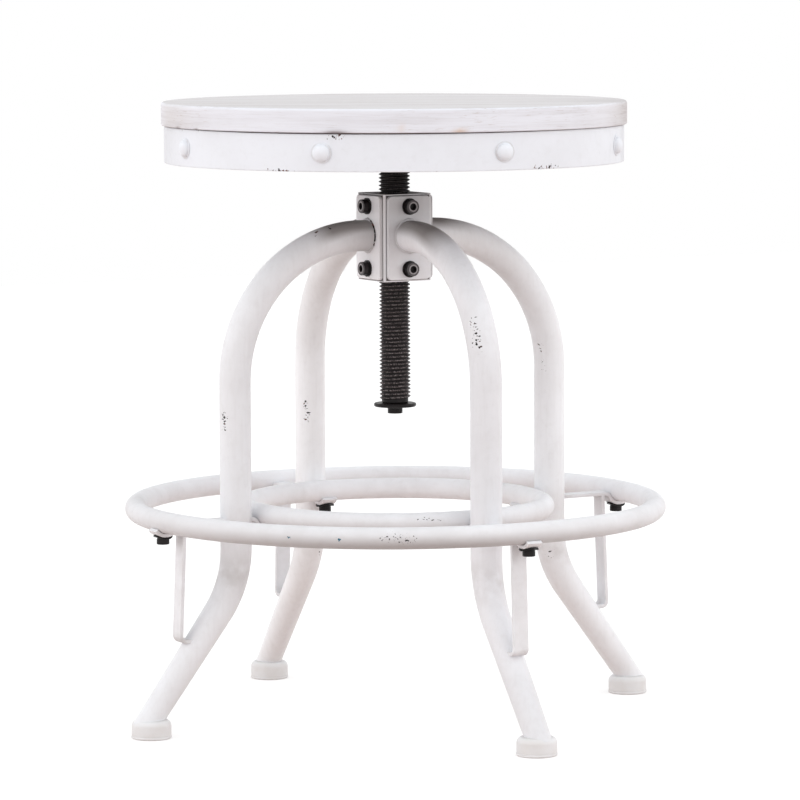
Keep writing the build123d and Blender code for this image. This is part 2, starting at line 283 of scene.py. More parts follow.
# Worn white paint: clouded white that goes to the rub colour by "grime" and to a dark colour by a second mark, which
# is painted shade on most pieces and soot with shade on the welds, with chips to metal, primer or "blue" where the
# flecks pass a limit that "wear" lowers
paintLook = dict(
    white=(0.787, 0.80, 0.832), shade=(0.742, 0.75, 0.776), rub=(0.40, 0.37, 0.355),
    sootAndShade=(0.27, 0.25, 0.245), chip=(0.016, 0.014, 0.015), primer=(0.12, 0.04, 0.03),
    blue=(0.03, 0.13, 0.20), gloss=0.30, rough=(0.37, 0.51), bump=(0.22, 0.0006), grain=0.25,
    mottled=0.06, brushStretch=(1, 1, 0.12), chipLimit=0.77, chipGain=0.18, chipFrom=(0.10, 0.30),
    scale=dict(clouds=14, mottle=190, brush=340, grime=75, primer=260, grain=330))


def wornPaint(name="wornWhitePaint", extra=None, fleckScale=470, fleckStretch=(0.8, 0.8, 1.3), primerFrom=0.62,
              brushed=0.0, lift=(1, 1, 1)):
    s, scale = paintLook, paintLook["scale"]
    finish, tree, shader = newFinish(name)
    where = objectSpace(tree)
    clouds = noise(tree, where, scale["clouds"], 4)
    mottle = noise(tree, where, scale["mottle"], 3)
    white, shade = (tuple(c * k for c, k in zip(s[tone], lift)) for tone in ("white", "shade"))
    colour = blendColour(tree, spread(tree, clouds, 0.40, 0.70), white, shade)
    colour = blendColour(tree, spread(tree, mottle, 0.48, 0.78, 0.0, s["mottled"]), colour, s["rub"])
    if brushed:
        brush = noise(tree, objectSpace(tree, 0, s["brushStretch"]), scale["brush"], 3)
        colour = blendColour(tree, spread(tree, brush, 0.42, 0.72, 0.0, brushed), colour, s["rub"])
    patches = spread(tree, noise(tree, where, scale["grime"], 4), 0.3, 0.7)
    grime = calc(tree, "MULTIPLY", attributeOf(tree, "grime"), patches)
    colour = blendColour(tree, grime, colour, s["rub"])
    # painted shade: the dark colour laid where a piece marks shade, soot and shade on the welds
    colour = blendColour(tree, attributeOf(tree, "sootAndShade"), colour, s["sootAndShade"])
    if extra:
        colour = extra(tree, colour)
    wear = attributeOf(tree, "wear")
    flecks = noise(tree, objectSpace(tree, 0, fleckStretch), fleckScale, 2, 0.5)
    limit = calc(tree, "SUBTRACT", s["chipLimit"], calc(tree, "MULTIPLY", wear, s["chipGain"]))
    over = calc(tree, "SUBTRACT", flecks, limit)
    chips = calc(tree, "MULTIPLY", spread(tree, over, 0.0, 0.03), spread(tree, wear, *s["chipFrom"]))
    rusty = spread(tree, noise(tree, where, scale["primer"], 2), primerFrom - 0.06, primerFrom + 0.06)
    bare = blendColour(tree, rusty, s["chip"], s["primer"])
    bare = blendColour(tree, attributeOf(tree, "blue"), bare, s["blue"])
    colour = blendColour(tree, chips, colour, bare)
    grain = calc(tree, "MULTIPLY", noise(tree, where, scale["grain"], 2), s["grain"])
    dress(tree, shader, s, colour, mottle, calc(tree, "SUBTRACT", grain, chips))
    return finish


# The nut block's paint, with painted shade in a dark line along the plates' outlines, wider on two of the sides, and
# dark on top
blockLook = dict(
    bare=(0.035, 0.024, 0.02), topZ=423.3, topFade=(0.3, 0.05), midZ=388.3, halfW=19.25, halfH=33.5,
    lineSide=1.6, lineFront=1.0, lineDark=0.92)


def blockPaint():
    s = blockLook

    def darken(tree, colour):
        ax, ay, z = foldedAxes(tree)
        across = calc(tree, "SUBTRACT", calc(tree, "MINIMUM", ax, ay), s["halfW"] * mm)
        up = calc(tree, "ABSOLUTE", calc(tree, "SUBTRACT", z, s["midZ"] * mm))
        outside = calc(tree, "MAXIMUM", across, calc(tree, "SUBTRACT", up, s["halfH"] * mm))
        onSide = calc(tree, "GREATER_THAN", ax, ay)
        wider = calc(tree, "MULTIPLY", onSide, s["lineSide"] - s["lineFront"])
        width = calc(tree, "MULTIPLY", calc(tree, "ADD", wider, s["lineFront"]), mm)
        # the line is painted shade in the gap round each plate; it and the dark top take the same dark colour
        line = spread(tree, calc(tree, "DIVIDE", outside, width), 0.2, 1.0, s["lineDark"], 0.0)
        top = spread(tree, z, *((s["topZ"] - below) * mm for below in s["topFade"]))
        return blendColour(tree, calc(tree, "MAXIMUM", line, top), colour, s["bare"])
    return wornPaint("blockPaint", darken)


# A leg plate's paint: the colour times a tone that runs from the plate's lower to its upper end, painted light and
# shade that differ by plate, with painted shade on its upright sides and in a halo round the tube
plateLook = dict(
    lowZ=355.0, highZ=422.0, halfW=19.25, edgeFade=(0.7, 0.1), tubeZ=389.8, tubeR=12.5,
    haloSpan=(0.5, 4.0),
    tone=dict(left=(1.16, 1.06), front=(1.0, 0.80), right=(1.0, 0.85), rear=(1.0, 0.85)),
    halo=dict(left=0.12, front=0.22, right=0.2, rear=0.2),
    sides=dict(left=0.32, front=0.0, right=0.32, rear=0.0))


def platePaint(side):
    s = plateLook

    def toned(tree, colour):
        ax, ay, z = foldedAxes(tree)
        # tone: painted light on the left plate and painted shade towards the top of the others
        tone = spread(tree, z, s["lowZ"] * mm, s["highZ"] * mm, *s["tone"][side])
        colour = blendColour(tree, 1.0, colour, tone, "MULTIPLY")
        across = calc(tree, "MINIMUM", ax, ay)
        # edge and halo: painted shade on the side faces and round the tube
        edge = spread(tree, across, *((s["halfW"] - inside) * mm for inside in s["edgeFade"]), 0.0, s["sides"][side])
        off = diagonal(tree, calc(tree, "SUBTRACT", z, s["tubeZ"] * mm), across)
        halo = spread(tree, off, *((s["tubeR"] + beyond) * mm for beyond in s["haloSpan"]), s["halo"][side], 0.0)
        return blendColour(tree, calc(tree, "MAXIMUM", edge, halo), colour, paintLook["sootAndShade"])
    return wornPaint(f"{side}PlatePaint", toned)


# Wooden seat: one turned profile with a broad flat top, eased edges and the narrower core inside the band
seatShape = dict(
    edgeR=186.5, coreR=182.4, topZ=497.0, edgeZ=478.3, lowZ=453.6, topEase=2.2, lowEase=1.3,
    segments=288, wander=0.12, topWorn=1.0, seamStain=0.95, underStain=0.8,
    stains=[(-126.3, -134.0, 478.0, 9, 2.2, 1.0), (-185.8, 15, 478.4, 4.5, 1.3, 0.9),
            (-186.0, -15, 478.4, 2.5, 1.2, 0.9), (154, -105, 488, 42, 18, 0.23),
            (-184, 30, 479.5, 24, 5, 0.10)],
    rust=[(-86.5, -165.2, 482.0, 3, 3, 0.30), (-43.9, -181.3, 479.6, 5, 1.3, 0.75)],
    endGrainAndShade=[(152, -108, 488, 60, 16, 1.25), (-184, 33, 485, 42, 15, 0.9)])

# Whitewashed wood: streaks along the grain on top and round the rim, thin pores, a warmer, darker tone where the seat
# is worn on top and, at the rim's two ends, end grain with painted shade, and brown by
# "stain" and "rust"; each kind of line has its stretch on top, its stretch on the rim, and its noise on top
woodLook = dict(
    grainTurn=-31.0, seamTurn=120.0, pale=(0.737, 0.757, 0.815), streak=(0.627, 0.63, 0.668),
    pore=(0.52, 0.48, 0.475), wornAndShaded=(0.857, 0.822, 0.781), stain=(0.085, 0.04, 0.032),
    rust=(0.60, 0.42, 0.30), gloss=0.18, rough=(0.49, 0.65), bump=(0.25, 0.0004), grain=0.5,
    topFade=(1.6, 0.5), wash=(9, 22, 22), rimNoise=(3, 0.55, 0.2),
    lines=dict(broad=((1.8, 36, 36), (9, 130, 1), (5, 0.62, 0.2)),
               fine=((9, 380, 380), (22, 620, 1), (4, 0.6, 0.2)),
               pores=((70, 1150, 1150), (95, 1250, 1), (2, 0.5, 0.0))))


def whitewashedWood():
    s = woodLook
    finish, tree, shader = newFinish("whitewashedWood")
    turn = -s["grainTurn"]
    wash = noise(tree, objectSpace(tree, turn, s["wash"]), 1.0, 3)
    x, y, z = objectAxes(tree, s["seamTurn"])
    alongRim = calc(tree, "MULTIPLY", calc(tree, "ARCTAN2", y, x), seatShape["edgeR"] * mm)
    rimSpace = addNode(tree, "ShaderNodeCombineXYZ", {0: alongRim, 1: z}).outputs[0]
    onTop = spread(tree, z, *((seatShape["topZ"] - below) * mm for below in s["topFade"]))
    lines = {}
    for name, (topStretch, rimStretch, topNoise) in s["lines"].items():
        topLines = noise(tree, objectSpace(tree, turn, topStretch), 1.0, *topNoise)
        rimWhere = addNode(tree, "ShaderNodeMapping", {"Vector": rimSpace, "Scale": rimStretch}).outputs[0]
        rimLines = noise(tree, rimWhere, 1.0, *s["rimNoise"])
        lines[name] = addNode(tree, "ShaderNodeMix", {0: onTop, 2: rimLines, 3: topLines}).outputs[0]
    broad, fine, pores = lines["broad"], lines["fine"], lines["pores"]
    streaks = calc(tree, "ADD", spread(tree, broad, 0.40, 0.66, 0.0, 0.65), spread(tree, fine, 0.45, 0.7, 0.0, 0.5))
    streaks = calc(tree, "MULTIPLY", streaks, spread(tree, wash, 0.3, 0.65, 0.45, 1.0))
    colour = blendColour(tree, streaks, s["pale"], s["streak"])
    dashes = calc(tree, "MULTIPLY", spread(tree, pores, 0.60, 0.68), spread(tree, wash, 0.40, 0.6, 0.2, 0.75))
    colour = blendColour(tree, dashes, colour, s["pore"])
    colour = blendColour(tree, attributeOf(tree, "wornAndShaded"), colour, s["wornAndShaded"], "MULTIPLY")
    colour = blendColour(tree, attributeOf(tree, "rust"), colour, s["rust"])
    brown = calc(tree, "MULTIPLY", attributeOf(tree, "stain"), spread(tree, fine, 0.2, 0.6, 0.55, 1.0))
    colour = blendColour(tree, brown, colour, s["stain"])
    grain = calc(tree, "MULTIPLY", fine, s["grain"])
    dress(tree, shader, s, colour, fine, calc(tree, "SUBTRACT", grain, dashes))
    return finish


# Black steel: near black with grey dust, paler on the thread crests, partly rubbed wear and partly a painted highlight
steelLook = dict(
    black=(0.009, 0.0072, 0.0075), dust=(0.034, 0.029, 0.0295), rub=(0.24, 0.215, 0.215),
    cloudScale=95, gritScale=900, gloss=0.20, rough=(0.30, 0.50), bump=(0.15, 0.0003))


def blackSteel(name="blackSteel", extra=None):
    s = steelLook
    finish, tree, shader = newFinish(name)
    where = objectSpace(tree)
    cloud = noise(tree, where, s["cloudScale"], 4)
    grit = noise(tree, where, s["gritScale"], 3)
    colour = blendColour(tree, spread(tree, cloud, 0.5, 0.78, 0.0, 0.55), s["black"], s["dust"])
    rub = calc(tree, "MULTIPLY", attributeOf(tree, "crestRubAndGlint"), spread(tree, grit, 0.42, 0.62))
    colour = blendColour(tree, rub, colour, s["rub"])
    if extra:
        colour = extra(tree, colour)
    dress(tree, shader, s, colour, grit, grit)
    return finish


# Plate screws: the same steel, grey on the end of each head, partly rubbed and partly a painted sheen, with a painted
# highlight in a paler ring round its socket, and black inside
headLook = dict(
    endR=30.4, endFade=0.15, midZ=388.3, gap=25.0, socketR=2.75, socketFade=0.3, ringR=3.55, ringFade=0.7,
    face=(0.085, 0.08, 0.083), ring=(0.30, 0.29, 0.30))


def screwSteel():
    s = headLook

    def headSheenAndRub(tree, colour):
        ax, ay, z = foldedAxes(tree)
        fromMiddle = calc(tree, "ABSOLUTE", calc(tree, "SUBTRACT", z, s["midZ"] * mm))
        off = diagonal(tree, calc(tree, "SUBTRACT", fromMiddle, s["gap"] * mm), calc(tree, "MINIMUM", ax, ay))
        # the grey end is partly a painted sheen, and the paler ring round the socket a painted highlight
        end = spread(tree, calc(tree, "MAXIMUM", ax, ay), (s["endR"] - s["endFade"]) * mm, s["endR"] * mm)
        rim = spread(tree, off, s["socketR"] * mm, (s["socketR"] + s["socketFade"]) * mm)
        ring = spread(tree, off, s["ringR"] * mm, (s["ringR"] + s["ringFade"]) * mm, 1.0, 0.0)
        face = blendColour(tree, ring, s["face"], s["ring"])
        return blendColour(tree, calc(tree, "MULTIPLY", end, rim), colour, face)
    return blackSteel("screwSteel", headSheenAndRub)


# Off-white plastic of the feet, a little warmer and duller than the paint, greyer where "grime" marks groove and brim
plasticLook = dict(
    pale=(0.735, 0.745, 0.76), warm=(0.70, 0.70, 0.702), dirt=(0.30, 0.275, 0.26),
    cloudScale=60, grainScale=800, gloss=0.5, rough=(0.47, 0.62), bump=(0.12, 0.0003))


def footPlastic():
    s = plasticLook
    finish, tree, shader = newFinish("footPlastic")
    where = objectSpace(tree)
    cloud = noise(tree, where, s["cloudScale"], 3)
    grain = noise(tree, where, s["grainScale"], 2)
    colour = blendColour(tree, spread(tree, cloud, 0.35, 0.7), s["pale"], s["warm"])
    dirt = calc(tree, "MULTIPLY", attributeOf(tree, "grime"), spread(tree, cloud, 0.2, 0.6, 0.5, 1.0))
    colour = blendColour(tree, dirt, colour, s["dirt"])
    dress(tree, shader, s, colour, grain, grain)
    return finish


# Each leg's paint is lifted by a brightness of its own, painted light against the shade that leg gets, and the chips
# of the band and the rings are finer
legPaintedLight = dict(
    front=(1.05, 1.055, 1.06), left=(1.03, 1.035, 1.035), rear=(1.10, 1.095, 1.08),
    right=(1.05, 1.055, 1.05))
paint = wornPaint()
legPaint = {side: wornPaint(f"{side}LegPaint", brushed=0.06, lift=legPaintedLight[side]) for side in legTurns}
bandPaint = wornPaint("bandPaint", fleckScale=620, fleckStretch=(1, 1, 0.55), primerFrom=0.46,
                      lift=(0.96, 0.985, 1.012))
# the rings' paint is lifted: painted light against the shade the seat casts on the rear ring
ringPaint = wornPaint("ringPaint", fleckScale=820, fleckStretch=(0.8, 0.8, 1), lift=(1.09, 1.09, 1.09))
woodFinish = whitewashedWood()
steel = blackSteel()
headSteel = screwSteel()
plastic = footPlastic()
print("finishes made")


# seat: the profile is turned, and beyond the core its radius wanders by a closed wave of the angle
def buildSeat():
    s = seatShape
    edgeR, coreR, topZ, edgeZ, lowZ = (s[key] for key in ("edgeR", "coreR", "topZ", "edgeZ", "lowZ"))
    ease, lowEase = s["topEase"], s["lowEase"]
    top = [(r, topZ) for r in np.linspace(2, edgeR - ease - 1, 26)]
    rim = arc(edgeR - ease, topZ - ease, ease, 90, 0, 8)
    side = [(edgeR, z) for z in np.linspace(topZ - ease - 1, edgeZ + lowEase + 1, 6)]
    low = arc(edgeR - lowEase, edgeZ + lowEase, lowEase, 0, -90, 7)
    core = [(coreR + 0.4, edgeZ), (coreR, edgeZ - 0.4), (coreR, lowZ + 0.5), (coreR - 0.5, lowZ), (120, lowZ),
            (60, lowZ), (2, lowZ)]
    grid = turned(top + rim + side + low + core, s["segments"])
    angle = np.arctan2(grid[..., 1], grid[..., 0])
    edge = (np.hypot(grid[..., 0], grid[..., 1]) > coreR + 0.2)[..., None]
    grid[..., :2] *= 1 + edge * (s["wander"] / edgeR) * closedWave(angle, 4, 3, 11)[..., None]
    piece = makePiece("woodSeat", [shell(grid)], woodFinish, "seat", ["wood_seat"])
    p = piecePoints(piece)
    r = np.hypot(p[:, 0], p[:, 1])
    seam = np.clip((edgeZ + 0.35 - p[:, 2]) / 0.3, 0, 1) * (r > coreR - 3) * s["seamStain"]
    under = np.clip((lowZ + 0.6 - p[:, 2]) / 0.3, 0, 1) * s["underStain"]
    setAttribute(piece, "stain", np.clip(seam + under + spotField(p, s["stains"]), 0, 1))
    setAttribute(piece, "rust", np.clip(spotField(p, s["rust"]), 0, 1))
    above = np.clip((p[:, 2] - topZ + 0.25) / 0.2, 0, 1)
    # the spots at the rim's two ends are end grain and painted shade
    setAttribute(piece, "wornAndShaded", np.clip(above * s["topWorn"] + spotField(p, s["endGrainAndShade"]), 0, 1))


buildSeat()

# Metal band: a thin wall with rolled edges, turned about the axis, a little uneven, its upper edge lifted to the wood
# but for one side, chipped along its lower edge, and darker at its two ends with painted shade
bandShape = dict(
    outR=184.2, wall=1.5, topZ=477.5, lowZ=448.6, edge=0.55, wander=0.10, lift=0.65, open=-130.0,
    closing=5, segments=288, wearMost=1.6, lowGrime=0.25, lowRise=1.2,
    wear=[(-155.5, -98.5, 449.0, 11, 1.5, 1.6), (31.6, -181.5, 450.2, 13, 2.6, 1.9),
          (-62, -173, 448.8, 4, 1.6, 1.1), (-126.3, -134.0, 475.4, 8, 3.4, 1.5),
          (-183.6, 15, 477.4, 4.5, 1.3, 2.2), (-183.6, -15, 477.6, 2.5, 1.2, 2.0),
          (120, 139, 449.4, 10, 2.5, 1.3), (-60, 174, 449.4, 12, 2.5, 1.3),
          (180, 40, 476.5, 8, 2.5, 1.2), (20, 183, 476.5, 9, 2.5, 1.2)],
    sootAndShade=[(-176, 55, 463, 40, 60, 0.14), (143, -116, 463, 13, 60, 0.2)])


def buildBand():
    s, e = bandShape, bandShape["edge"]
    outR, topZ, lowZ = s["outR"], s["topZ"], s["lowZ"]
    inR = outR - s["wall"]
    zs = np.linspace(lowZ + e + 0.6, topZ - e - 0.6, 16)
    profile = (arc(outR - e, lowZ + e, e, -90, 0, 5) + [(outR, z) for z in zs] + arc(outR - e, topZ - e, e, 0, 90, 5)
               + arc(inR + e, topZ - e, e, 90, 180, 4) + arc(inR + e, lowZ + e, e, 180, 270, 4))
    grid = turned(profile, s["segments"])
    angle = np.arctan2(grid[..., 1], grid[..., 0])
    grid[..., :2] *= 1 + (s["wander"] / outR) * closedWave(angle, 9, 4, 14)[..., None]
    away = 0.5 - 0.5 * np.cos(angle - radians(s["open"]))    # the seam is widest at "open" and narrows away from it
    upper = (grid[..., 2] - lowZ) / (topZ - lowZ)
    grid[..., 2] += s["lift"] * upper * np.clip(s["closing"] * away, 0, 1)
    piece = makePiece("seatBand", [shell(grid, True)], bandPaint, "seat", ["seat_band"])
    p = piecePoints(piece)
    setAttribute(piece, "wear", np.clip(spotField(p, s["wear"]), 0, s["wearMost"]))
    lower = np.clip((lowZ + s["lowRise"] - p[:, 2]) / s["lowRise"], 0, 1)
    setAttribute(piece, "grime", s["lowGrime"] * lower)
    # the spots at the band's two ends are painted shade
    setAttribute(piece, "sootAndShade", np.clip(spotField(p, s["sootAndShade"]), 0, 1))


buildBand()

# Band rivets: an elliptic dome on a thin round flange, eight round the band
rivetShape = dict(
    count=8, turn=-1.85, seatR=184.3, z=463.05, flangeR=8.4, domeR=6.9, domeFrom=0.35, rise=4.6,
    shankR=2.0, shankLow=-6.0, sides=40, grime=0.55, grimeAt=0.4)


def buildRivets():
    s = rivetShape
    a = np.radians(np.linspace(3, 88, 14))
    dome = np.stack([s["domeR"] * np.sin(a), s["domeFrom"] + (s["rise"] - s["domeFrom"]) * np.cos(a)], 1).tolist()
    profile = dome + [(s["domeR"] + 0.25, 0.36), (s["flangeR"] - 0.15, 0.3), (s["flangeR"], 0.1),
                      (s["flangeR"] - 0.1, -0.2), (s["shankR"], -0.3), (s["shankR"], s["shankLow"]),
                      (0.3, s["shankLow"] - 0.2)]
    grid = turned(profile, s["sides"])
    shells = []
    for i in range(s["count"]):
        tilted = np.stack([s["seatR"] + grid[..., 2], grid[..., 0], s["z"] + grid[..., 1]], -1)
        shells.append(shell(aboutZ(tilted, s["turn"] + 360 / s["count"] * i)))
    piece = makePiece("bandRivets", shells, bandPaint, "seat", ["band_rivets"], 30)
    p = piecePoints(piece)
    out = np.hypot(p[:, 0], p[:, 1]) - s["seatR"]
    setAttribute(piece, "grime", s["grime"] * np.clip(1 - np.abs(out - s["grimeAt"]) / s["grimeAt"], 0, 1))


buildRivets()

# Lift screw: a sheet of profile steps that climbs one pitch each turn, with plain necks and flat ends
screwShape = dict(
    lowZ=254.2, highZ=448.6, crestR=12.5, depth=1.8, pitch=3.0, neck=1.2, around=72, runOut=0.9,
    lowEase=0.8, highEase=0.6, rubZ=(300, 360, 424, 430), rub=(1.0, 0.75, 0.6, 0.3),
    across=((0.0, 0.0), (0.10, 0.0), (0.43, 1.0), (0.57, 1.0), (0.90, 0.0)))


def buildScrew():
    s = screwShape
    coreR, n = s["crestR"] - s["depth"], s["around"]
    share, rise = np.array(s["across"]).T
    steps = len(share)
    turns = int((s["highZ"] - s["lowZ"] - 2 * s["neck"]) / s["pitch"]) - 1
    a = np.arange(n) / n
    along = (np.arange(turns)[:, None] + share).reshape(-1)
    z = s["lowZ"] + s["neck"] + s["pitch"] * (along[:, None] + a)
    level = np.tile(rise, turns)[:, None]
    fromEnd = np.minimum(along[:, None] + a, turns - along[:, None] - a + 0.2)
    r = coreR + s["depth"] * level * np.clip(fromEnd / s["runOut"], 0, 1)
    sheet = np.stack([r * np.cos(2 * pi * a), r * np.sin(2 * pi * a), z], -1)
    rows = len(along)
    circle = np.stack([np.cos(2 * pi * a), np.sin(2 * pi * a)], -1)
    ends = [(coreR - s["lowEase"], s["lowZ"]), (coreR, s["lowZ"] + s["lowEase"]),
            (coreR, s["highZ"] - s["highEase"]), (coreR - s["highEase"], s["highZ"])]
    rings = np.stack([np.column_stack([circle * er, np.full(n, ez)]) for er, ez in ends])
    points = np.vstack([sheet.reshape(-1, 3), rings.reshape(-1, 3)])
    q = np.arange(rows - 1)[:, None] * n + np.arange(n - 1)[None, :]
    quads = np.stack([q, q + 1, q + 1 + n, q + n], -1).reshape(-1, 4).tolist()
    k = np.arange(rows - 1 - steps)          # the seam joins the end of each step to the step one turn above
    quads += np.stack([k * n + n - 1, (k + steps) * n, (k + steps + 1) * n, (k + 1) * n + n - 1], -1).tolist()
    base = rows * n
    low0, low1, high0, high1 = (base + i * n + np.arange(n) for i in range(4))
    c = np.arange(n - 1)
    quads += np.stack([low1[c], low1[c + 1], c + 1, c], -1).tolist()
    last = (rows - 1) * n
    quads += np.stack([last + c, last + c + 1, high0[c + 1], high0[c]], -1).tolist()
    nextC = (np.arange(n) + 1) % n
    quads += np.stack([low0, low0[nextC], low1[nextC], low1], -1).tolist()
    quads += np.stack([high0, high0[nextC], high1[nextC], high1], -1).tolist()
    lidLow = [int(low1[n - 1]), int(low1[0])] + [i * n for i in range(steps + 1)] + [n - 1]
    lidHigh = [last + n - 1, *[(rows - 1 - i) * n + n - 1 for i in range(1, steps + 1)],
               last, int(high0[0]), int(high0[n - 1])]
    faces = quads + [lidLow, lidHigh, low0[::-1].tolist(), high1.tolist()]
    piece = makePiece("liftScrew", [(points, faces)], steel, "seat", ["lift_screw"], 25)
    p = piecePoints(piece)
    # paler thread crests: partly rubbed wear, partly a painted highlight, less towards the top
    crestRubAndGlint = np.clip((np.hypot(p[:, 0], p[:, 1]) - coreR) / s["depth"], 0, 1)
    rubbed = np.interp(p[:, 2], s["rubZ"], s["rub"])          # less towards the top
    setAttribute(piece, "crestRubAndGlint", crestRubAndGlint * rubbed)


buildScrew()
print("seat and screw built")

# Legs: tubes along a lead, an upper bend, an upright, a lower bend and a straight splay, thinner towards the foot.
# Painted shade lies by the plate and on top of the upper bend under the seat, more painted shade goes by height as a
# grey veil, and grime is on the lower bend
legShape = dict(
    tubeR=12.5, footR=10.1, plateR=24.5, topZ=389.8, lead=8.0, axisR=145.0, lowBend=85.0, splay=36.8,
    footReach=76.0, footZ=16.0, endZ=12.5, sides=56, dent=0.12, wearMost=2.6,
    wear=dict(front=[(-9.5, -141.0, 329.0, 3.8, 5, 1.5), (-9.5, -145.5, 319.0, 3.8, 6.5, 1.5),
                     (-9.0, -149.3, 310.5, 3.8, 5.5, 1.4)],
              right=[(133.4, -6.0, 294.0, 2.6, 8, 1.1), (135.2, -7.6, 277.0, 2.6, 9, 1.1),
                     (140.1, -9.9, 123.2, 4, 8, 0.9)],
              left=[(-157.0, -3.4, 251.5, 3.2, 5, 1.6), (-156.6, -4.6, 242.0, 3.0, 5, 1.6),
                    (-73.2, -4.9, 394.4, 1.7, 1.4, 3.0), (-61.8, -6.4, 397.0, 1.5, 1.2, 3.0),
                    (-67.5, -5.9, 395.6, 3.0, 1.6, 1.3), (-76, -8.3, 391, 4.5, 2.2, 1.15)],
              rear=[(-8.9, 136.3, 243.0, 3.4, 8, 1.35), (-8.3, 135.7, 230.0, 3.4, 6, 1.35),
                    (4.5, 139.0, 115.0, 2.6, 4, 1.2)]),
    farSide=60.75, farFan=25, farStep=12, farWear=(250.0, 3.4, 8, 1.35),
    # painted shade: on top of the upper bend under the seat, by the plate, and a veil by height
    sootAndShade=0.92, shadeEase=0.6, sagR=(50, 80),
    shadeEnd=dict(front=(94, 28), left=(80, 17), rear=(82, 30), right=(70, 30)),
    shadeSag=dict(front=(-0.05, 0.15), left=(0.02, 0.02), rear=(0.02, 0.02), right=(-0.2, -0.2)),
    plateLow=340, plateShade=dict(front=(5, 0.10), left=(26, 0.50), rear=(45, 0.50), right=(5, 0.34)),
    grimeZ=126, grimeSpan=13, bendGrime=dict(front=0.35, left=0.38, rear=0.22, right=0.3),
    veilZ=(30, 55, 90, 122, 150, 190, 280, 340, 360),
    shadeVeil=dict(front=(0.13, 0.15, 0, 0, 0, 0.17, 0.20, 0.03, 0),
              left=(0.05, 0, 0.03, 0.22, 0.04, 0.08, 0.12, 0, 0),
              rear=(0.08, 0.08, 0, 0, 0, 0, 0, 0.06, 0.05),
              right=(0, 0, 0, 0.03, 0, 0, 0.02, 0.08, 0.08)))


# a leg's path in radius and height, its headings, its tube's radius and the length walked: the radius goes evenly from
# the tube's to the foot's below the upright
def legPath():
    s = legShape
    splay = radians(s["splay"])
    topBend = s["axisR"] - s["plateR"] - s["lead"]
    run = (s["footReach"] - s["lowBend"] * (1 - cos(splay))) / sin(splay)
    bendZ = s["footZ"] + run * cos(splay) + s["lowBend"] * sin(splay)
    upright = s["topZ"] - topBend - bendZ
    steps = [("run", s["lead"], 0, 4), ("bend", topBend, -90, 70), ("run", upright, 0, 44),
             ("bend", s["lowBend"], s["splay"], 30), ("run", run, 0, 29)]
    path, heads = walk((s["plateR"], s["topZ"]), 0.0, steps)
    gaps = np.hypot(*np.diff(path, axis=0).T)
    along = np.concatenate([[0], np.cumsum(gaps)])
    taperFrom = s["lead"] + topBend * pi / 2 + upright
    share = np.clip((along - taperFrom) / (along[-1] - taperFrom), 0, 1)
    radii = s["tubeR"] + (s["footR"] - s["tubeR"]) * share
    return path, heads, radii, along


def buildLegs():
    s = legShape
    path, heads, radii, along = legPath()
    grid = tubeAlong(path, heads, radii, s["sides"])
    slide = (grid[-1, :, 2] - s["endZ"]) / cos(radians(s["splay"]))   # level end, inside the foot
    grid[-1, :, 0] += slide * sin(radians(s["splay"]))
    grid[-1, :, 2] -= slide * cos(radians(s["splay"]))
    around = evenAngles(s["sides"])
    centre = np.stack([path[:, 0], np.zeros(len(path)), path[:, 1]], 1)[:, None, :]
    outward = (grid - centre) / radii[:, None, None]
    for seed, (side, turn) in enumerate(legTurns.items()):
        swell = s["dent"] * closedWave(along / along[-1] * 2 * pi, 20 + seed, 3, 16)
        lump = swell[:, None] * np.cos(around + seed)
        dented = grid + outward * lump[..., None]
        piece = makePiece(f"leg_{side}_tube", [shell(aboutZ(dented, turn))], legPaint[side], "base",
                          [f"leg_{side}"])
        p = piecePoints(piece)
        r = np.hypot(p[:, 0], p[:, 1])
        away = radians(s["farSide"] + s["farFan"] * (seed - 1.5))        # a few chips on the upright's far side too
        x, y = (s["axisR"] * f(radians(turn)) + s["tubeR"] * f(away) for f in (cos, sin))
        z, *size = s["farWear"]
        spots = s["wear"][side] + [(x, y, z - s["farStep"] * seed, *size)]
        setAttribute(piece, "wear", np.clip(spotField(p, spots), 0, s["wearMost"]))
        bend = np.exp(-((p[:, 2] - s["grimeZ"]) / s["grimeSpan"]) ** 2)
        setAttribute(piece, "grime", bend * s["bendGrime"][side])
        wide, deep = s["plateShade"][side]
        # painted shade in the crease by the plate
        nearPlate = deep * np.exp(-((r - s["plateR"]) / wide) ** 2) * (p[:, 2] > s["plateLow"])
        # painted shade on the upward faces of the upper bend, where the seat shades them
        sag = np.interp(r, s["sagR"], s["shadeSag"][side])       # how far the soot reaches down the sides
        upward = np.clip((vertexRows(piece, "normal")[:, 2] + sag) / s["shadeEase"], 0, 1)
        end, fade = s["shadeEnd"][side]
        onTop = s["sootAndShade"] * upward * np.clip((end - r) / fade, 0, 1)
        # painted shade by height
        shadeVeil = np.interp(p[:, 2], s["veilZ"], s["shadeVeil"][side])
        setAttribute(piece, "sootAndShade", np.clip(np.maximum(nearPlate, onTop) + shadeVeil, 0, 1))


buildLegs()

# Weld beads: a thin wavy ring where each leg meets its plate, fuller above and below the tube, dark on the left leg
weldShape = dict(
    plateR=24.5, z=389.8, tubeR=12.5, bead=0.75, wave=0.5, lobe=1.0, lift=0.95, sootAndShade=0.3,
    around=96, section=12, dark=dict(fromX=-20, middle=74, width=60, wear=2.6, sootAndShade=0.45))


